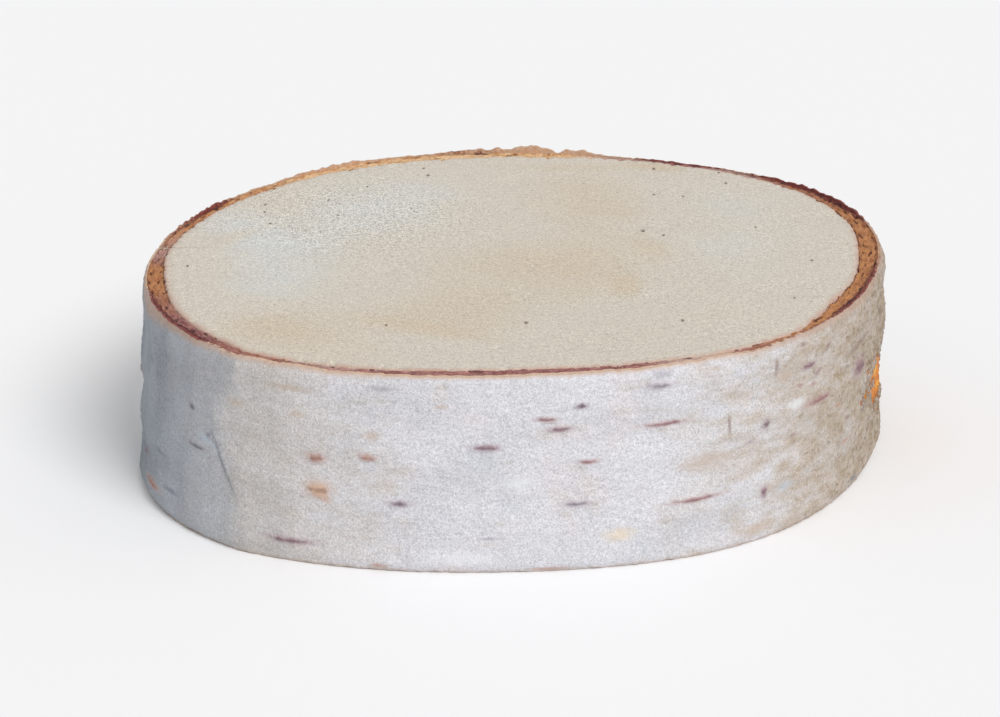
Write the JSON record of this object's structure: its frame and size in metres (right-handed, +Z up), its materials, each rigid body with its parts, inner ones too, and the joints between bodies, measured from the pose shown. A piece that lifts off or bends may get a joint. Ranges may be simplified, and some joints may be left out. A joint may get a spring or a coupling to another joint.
{
  "type": "birch wood slice",
  "caption": "Thick round slice of a birch stem with its white bark on, flat sawn faces and a brown inner-bark ring.",
  "frame": {"origin": "middle of the lower sawn face, under the centre of the slice's bounding box", "axes": "+Z up the stem's axis, square to both sawn faces; +Y away from the side that the picture shows; +X to its right"},
  "size_m": [0.1148, 0.1066, 0.0302],
  "materials": {
    "outer_bark": "white papery birch bark, matt to slightly silky",
    "sawn_wood": "pale sawn end grain, sanded, unfinished and matt",
    "inner_bark": "dry brown inner bark, fibrous and matt"
  },
  "bodies": {
    "root": {"birch_slice": "outer_bark"}
  },
  "joints": []
}
